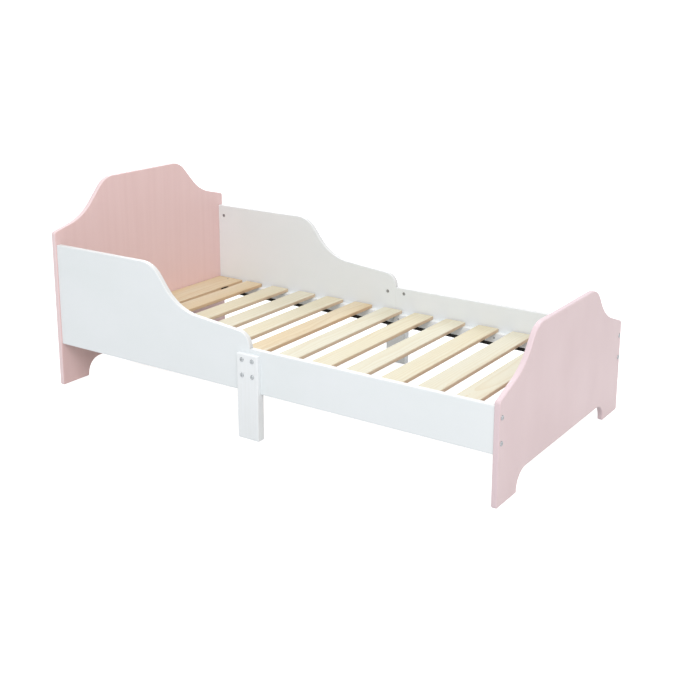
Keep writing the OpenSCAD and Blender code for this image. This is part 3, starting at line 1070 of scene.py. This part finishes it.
    def _staples(self) -> None:
        """Builds the staples: each is a flat wire crown on the webbing with two legs in the wood."""
        crown, wire, leg = 11.0 * MM, 0.8 * MM, 7.0 * MM
        half = 0.6 * MM
        shape = Shape()
        for c in solid_centres("webbing_staples"):
            base = c.z - wire / 2
            a0, a1 = c.y - crown / 2, c.y + crown / 2
            inner, tip = base + wire, base + leg
            profile = [(a0, base), (a1, base), (a1, tip), (a1 - wire, tip), (a1 - wire, inner),
                       (a0 + wire, inner), (a0 + wire, tip), (a0, tip)]
            shape.slab(Lay.ACROSS, rounded(profile, 0.3 * MM, 45), c.x - half, c.x + half,
                       0.2 * MM, steps=1)
        shape.stand_for("webbing_staples", "wire", NUT_PLATE.build())


# ---- Hardware ----

# The rounding of turned edges that only have their burr taken off.
BURR = 0.2 * MM


class Way(Enum):
    """Which way a fastener's head faces: its lay and the sign of its depth axis."""

    HEAD_END = (Lay.ACROSS, -1)
    FOOT_END = (Lay.ACROSS, 1)
    FRONT = (Lay.ALONG, -1)
    REAR = (Lay.ALONG, 1)
    UP = (Lay.FLAT, 1)

    @property
    def lay(self) -> Lay:
        """How the fastener's round sections lie."""
        return self.value[0]

    @property
    def sign(self) -> int:
        """The sign of the depth axis that the head faces."""
        return self.value[1]

    def split(self, spot: Vector) -> Triple:
        """A point's two outline coordinates and its depth."""
        a, b, depth = self.lay.value
        return spot[a], spot[b], spot[depth]

    def face(self, node: str) -> float:
        """The depth of a frame node's outermost face on the heads' side."""
        return self.split(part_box(node)[1 if self.sign > 0 else 0])[2]

    def length(self, node: str) -> float:
        """How deep a frame node is."""
        low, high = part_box(node)
        return self.split(high)[2] - self.split(low)[2]


@dataclass(frozen=True)
class Section:
    """One round section of a fastener.

    Attributes:
        start: how far behind the head's outer face it starts.
        length: its length.
        radius: its radius.
        rim: the rounding of its outer rim.
        mark: an outline cut into its outer face.
        mark_depth: how deep that is cut.
    """

    start: float
    length: float
    radius: float
    rim: float
    mark: Loop | None = None
    mark_depth: float = 0.0

    def add(self, shape: Shape, way: Way, centre: Point, face: float) -> None:
        """Adds the section to a shape.

        Args:
            shape: the shape to add to.
            way: the way that the head faces.
            centre: the axis's outline coordinates.
            face: the depth of the head's outer face.
        """
        ends = sorted((face - way.sign * self.start, face - way.sign * (self.start + self.length)))
        outer_far = way.sign > 0
        recesses = [Recess(self.mark, self.mark_depth, outer_far)] if self.mark else []
        rims = (BURR, self.rim) if outer_far else (self.rim, BURR)
        shape.slab(way.lay, circle(*centre, self.radius, 36), *ends, rims, recesses=recesses)


@dataclass
class Hardware:
    """Bolts, nuts, screws, rods and dowels.

    Attributes:
        head_r: the radius of the bolts' heads.
        head_t: the thickness of the bolts' heads.
        dome: the rounding of the bolts' heads.
        hex_r: the radius of the hexagon socket, across its corners.
        hex_depth: the depth of the socket.
        shank_r: the radius of the bolts' shanks.
        end_bolt: the length of the end boards' bolts.
        nut_r: the radius of the barrel nuts.
        nut_len: the length of the barrel nuts.
        nut_trim: how much of that is left off at a nut's face and at its back.
        nut_rim: the rounding of their faces.
        nut_slot: half the length and half the width of the slot in a barrel nut.
        screw_r: the radii of a screw's head, neck and thread.
        screw_len: the lengths of its head, neck and thread.
        screw_rim: the rounding of its head.
        sunk: how deep the heads of the slats' screws lie.
        proud: how far the heads of the cleats' screws stand out.
        cross_size: the reach and the width of the arms of a screw's cross.
        mark_depth: the depth of slots and crosses.
        pitch: the height of one turn of the rods' thread.
        thread_rim: the rounding of a turn, as a share of the pitch.
        insert_r: the radius of the insert nuts.
        barbs: how many barbed rings an insert nut has.
        barb_rim: the rounding of a barb.
        dowel: the length and radius of a dowel.
        flutes: how many flutes run along a dowel.
        flute_depth: how deep they are, to either side of their mean.
    """

    head_r: float = 6.0 * MM
    head_t: float = 2.0 * MM
    dome: float = 1.3 * MM
    hex_r: float = 2.5 * MM
    hex_depth: float = 1.4 * MM
    shank_r: float = 2.9 * MM
    end_bolt: float = 46.0 * MM
    nut_r: float = 4.9 * MM
    nut_len: float = 13.0 * MM
    nut_trim: Point = (0.5 * MM, 0.3 * MM)
    nut_rim: float = 0.5 * MM
    nut_slot: Point = (3.9 * MM, 0.7 * MM)
    screw_r: Triple = (3.4 * MM, 2.4 * MM, 1.6 * MM)
    screw_len: Triple = (1.1 * MM, 1.2 * MM, 24.0 * MM)
    screw_rim: float = 0.35 * MM
    sunk: float = 0.15 * MM
    proud: float = 0.25 * MM
    cross_size: Point = (1.9 * MM, 0.8 * MM)
    mark_depth: float = 0.8 * MM
    pitch: float = 1.0 * MM
    thread_rim: float = 0.45
    insert_r: float = 4.4 * MM
    barbs: int = 5
    barb_rim: float = 0.5 * MM
    dowel: Point = (30.0 * MM, 3.9 * MM)
    flutes: int = 20
    flute_depth: float = 0.15 * MM

    def build(self) -> None:
        """Builds every fastener."""
        bolt_steel, nut_steel, screw_steel = BOLT_PLATE.build(), NUT_PLATE.build(), SCREW_PLATE.build()
        self._bolts("headboard_bolts", Way.HEAD_END, bolt_steel)
        self._bolts("footboard_bolts", Way.FOOT_END, bolt_steel)
        self._bolts("leg_bolts_front", Way.FRONT, bolt_steel)
        self._bolts("leg_bolts_rear", Way.REAR, bolt_steel)
        for group in NUT_GROUPS:
            self._barrel_nuts(group, nut_steel)
        self._screws("cleat_screws_front", Way.REAR, screw_steel)
        self._screws("cleat_screws_rear", Way.FRONT, screw_steel)
        self._screws("slat_screws", Way.UP, screw_steel)
        self._rods(nut_steel)
        for side in Side:
            self._inserts(f"insert_nuts_{side.word}", nut_steel)
        self._dowels(BEECH.build())

    def _bolts(self, node: str, way: Way, material: Material) -> None:
        """Builds socket-head connector bolts, their domed heads on the outer face."""
        length = way.length(node) if node.startswith("leg") else self.end_bolt
        shape = Shape()
        for i, centre in enumerate(solid_centres(node)):
            a, b, _ = way.split(centre)
            socket = circle(a, b, self.hex_r, 6, turn=0.35 * i)
            for part in (Section(0.0, self.head_t, self.head_r, self.dome, socket, self.hex_depth),
                         Section(self.head_t, length - self.head_t, self.shank_r, BURR / 2)):
                part.add(shape, way, (a, b), way.face(node))
        shape.stand_for(node, "socket_head", material)

    def _barrel_nuts(self, node: str, material: Material) -> None:
        """Builds slotted barrel nuts, a little below the panels' inner faces."""
        shape = Shape()
        for centre in solid_centres(node):
            way = Way.FRONT if centre.y > 0 else Way.REAR
            a, b, depth = way.split(centre)
            half_l, half_w = self.nut_slot
            slot = rectangle(a - half_l, b - half_w, a + half_l, b + half_w)
            face = depth + way.sign * (self.nut_len / 2 - self.nut_trim[0])
            length = self.nut_len - sum(self.nut_trim)
            nut = Section(0.0, length, self.nut_r, self.nut_rim, slot, self.mark_depth)
            nut.add(shape, way, (a, b), face)
        shape.stand_for(node, "slotted", material)

    def _screws(self, node: str, way: Way, material: Material) -> None:
        """Builds countersunk wood screws with a cross recess, their heads almost flush."""
        start = self.sunk if way is Way.UP else -self.proud
        head_r, neck_r, thread_r = self.screw_r
        head, neck, thread = self.screw_len
        shape = Shape()
        for centre in solid_centres(node):
            a, b, _ = way.split(centre)
            mark = cross(a, b, *self.cross_size)
            for part in (Section(start, head, head_r, self.screw_rim, mark, self.mark_depth),
                         Section(start + head, neck, neck_r, BURR / 2),
                         Section(start + head + neck, thread, thread_r, BURR / 2)):
                part.add(shape, way, (a, b), way.face(node))
        shape.stand_for(node, "countersunk", material)

    def _rods(self, material: Material) -> None:
        """Builds the threaded rods across the middle joints, each turn of thread a rounded disc."""
        low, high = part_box("joint_rods")
        shape = Shape()
        for centre in solid_centres("joint_rods"):
            for k in range(round((high[0] - low[0]) / self.pitch)):
                x = low[0] + k * self.pitch
                shape.slab(Lay.ACROSS, circle(centre.y, centre.z, self.shank_r, 20), x, x + self.pitch,
                           self.thread_rim * self.pitch, steps=2)
        shape.stand_for("joint_rods", "threaded", material)

    def _inserts(self, node: str, material: Material) -> None:
        """Builds one side's insert nuts in the panels, as barbed rings around the bolts."""
        low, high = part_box(node)
        step = (high[1] - low[1]) / self.barbs
        shape = Shape()
        for centre in solid_centres(node):
            for k in range(self.barbs):
                y = low[1] + k * step
                shape.slab(Lay.ALONG, circle(centre.x, centre.z, self.insert_r, 28), y, y + step,
                           self.barb_rim, steps=2)
        shape.stand_for(node, "barbed", material)

    def _dowels(self, material: Material) -> None:
        """Builds the wooden dowels with shallow flutes along them."""
        length, radius = self.dowel
        count = self.flutes * 4
        shape = Shape()
        for centre in solid_centres("wooden_dowels"):
            outline = []
            for angle in (math.tau * k / count for k in range(count)):
                r = radius - self.flute_depth * (1 + math.cos(self.flutes * angle))
                outline.append((centre.y + r * math.cos(angle), centre.z + r * math.sin(angle)))
            start = centre.x - length / 2
            shape.slab(Lay.ACROSS, outline, start, start + length, 0.15 * MM, steps=2)
        shape.stand_for("wooden_dowels", "fluted", material)


# ---- Studio ----

BED_MIDDLE = (0.0, 0.0, 0.25)


@dataclass(frozen=True)
class Lamp:
    """A soft square lamp that faces the middle of the bed.

    Attributes:
        name: the lamp's name.
        spot: where it hangs.
        size: the length of its side.
        power: its power in watts.
        colour: the colour of its light.
    """

    name: str
    spot: Triple
    size: float
    power: float
    colour: str

    def hang(self) -> None:
        """Hangs the lamp."""
        data = bpy.data.lights.new(self.name, "AREA")
        data.size = self.size
        data.energy = self.power
        data.color = srgb(self.colour)[:3]
        obj = bpy.data.objects.new(self.name, data)
        obj.location = self.spot
        aim = Vector(BED_MIDDLE) - Vector(self.spot)
        obj.rotation_mode = "QUATERNION"
        obj.rotation_quaternion = aim.to_track_quat("-Z", "Y")
        bpy.context.scene.collection.objects.link(obj)


@dataclass
class Studio:
    """A white floor, an even white surround, soft lamps and the camera.

    Attributes:
        eye: where the camera stands.
        heading_deg: how far it is turned to the left of straight across the bed.
        dip_deg: how far it looks down.
        lens_mm: its focal length over a 36 mm wide image.
        shift_y: its upward shift, as a share of the image's width.
        surround: how strongly the surround lights the bed.
        glow: how strongly the floor lights the bed by itself, besides the light that it throws back.
        veil: how much brighter than that the floor looks, to keep it near white.
        floor_half: half the length of the floor's side.
        lamps: the lamps.
    """

    eye: Triple = (1.7306, -2.4881, 1.1671)
    heading_deg: float = 34.39
    dip_deg: float = 13.98
    lens_mm: float = 59.6663
    shift_y: float = -0.12
    surround: float = 0.64
    glow: float = 0.08
    veil: float = 0.76
    floor_half: float = 150.0
    lamps: tuple[Lamp, ...] = (
        Lamp("key_lamp", (2.5, -3.8, 4.5), 3.4, 206.0, "#fffefd"),
        Lamp("back_lamp", (-3.0, 3.4, 3.4), 2.8, 104.0, "#f8fbff"),
        Lamp("top_lamp", (0.1, 0.1, 3.6), 3.2, 26.0, "#f8fbff"),
    )

    def build(self) -> None:
        """Builds the studio, with the light shown as it is, without a film curve."""
        bpy.context.scene.view_settings.view_transform = "Standard"
        self._camera()
        self._floor()
        self._surround()
        for lamp in self.lamps:
            lamp.hang()

    def _camera(self) -> None:
        """Sets the camera."""
        data = bpy.data.cameras.new("studio_camera")
        data.sensor_width = 36.0
        data.lens = self.lens_mm
        data.shift_y = self.shift_y
        data.clip_end = 100.0
        obj = bpy.data.objects.new("studio_camera", data)
        obj.location = self.eye
        obj.rotation_euler = (math.radians(90 - self.dip_deg), 0.0, math.radians(self.heading_deg))
        bpy.context.scene.collection.objects.link(obj)
        bpy.context.scene.camera = obj

    @staticmethod
    def _strength(tree: Tree, given: float, shown: float) -> Socket:
        """How bright a part of the studio is.

        Args:
            tree: its node tree.
            given: its strength as a light.
            shown: its strength where it is seen, straight or as a reflection.

        Returns:
            The strength.
        """
        path = add_node(tree, "LightPath")
        seen = add_node(tree, "Math",
                        {0: path.outputs["Is Camera Ray"], 1: path.outputs["Is Glossy Ray"]},
                        operation="MAXIMUM")
        level = add_node(tree, "MapRange",
                         {"Value": seen.outputs[0], "To Min": given, "To Max": shown})
        return level.outputs[0]

    def _floor(self) -> None:
        """Lays the floor, matte white paper that is faintly lit from within, so that shadows stay pale."""
        size = self.floor_half
        mesh = bpy.data.meshes.new("studio_floor")
        corners = [(-size, -size, 0), (size, -size, 0), (size, size, 0), (-size, size, 0)]
        mesh.from_pydata(corners, [], [(0, 1, 2, 3)])
        material, tree, shader = new_material("studio_paper")
        grain = patches(tree, (300.0, 300.0, 300.0), 1.0)
        level = self._strength(tree, self.glow, self.glow + self.veil)
        set_inputs(tree, shader, {"Base Color": layered(tree, "#c2c2c2", (grain, "#c0c0c0")),
                                  "Roughness": 0.9, "Specular IOR Level": 0.1,
                                  "Emission Color": srgb("#ffffff"), "Emission Strength": level})
        mesh.materials.append(material)
        floor = bpy.data.objects.new("studio_floor", mesh)
        bpy.context.scene.collection.objects.link(floor)

    def _surround(self) -> None:
        """Lights the scene evenly from all round."""
        world = bpy.data.worlds.new("studio_surround")
        world.use_nodes = True
        tree = world.node_tree
        tree.nodes.clear()
        light = add_node(tree, "Background",
                         {"Color": srgb("#ffffff"), "Strength": self._strength(tree, self.surround, 1.0)})
        add_node(tree, "OutputWorld", {"Surface": light.outputs[0]})
        bpy.context.scene.world = world


def main() -> None:
    """Builds the studio and the bed."""
    logging.basicConfig(level=logging.INFO, format="%(name)s: %(message)s")
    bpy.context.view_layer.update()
    Studio().build()
    EndBoard("headboard", ROSE_HEAD).build()
    EndBoard("footboard", ROSE_FOOT).build()
    panel_white, wood_white = WHITE_PANEL.build(), WHITE_WOOD.build()
    for side in Side:
        SidePanels(side, panel_white).build()
        MiddleLeg(side, wood_white).build()
    Cleats(WHITE_BATTEN.build()).build()
    SlatBase().build()
    Hardware().build()


if __name__ == "__main__":
    main()
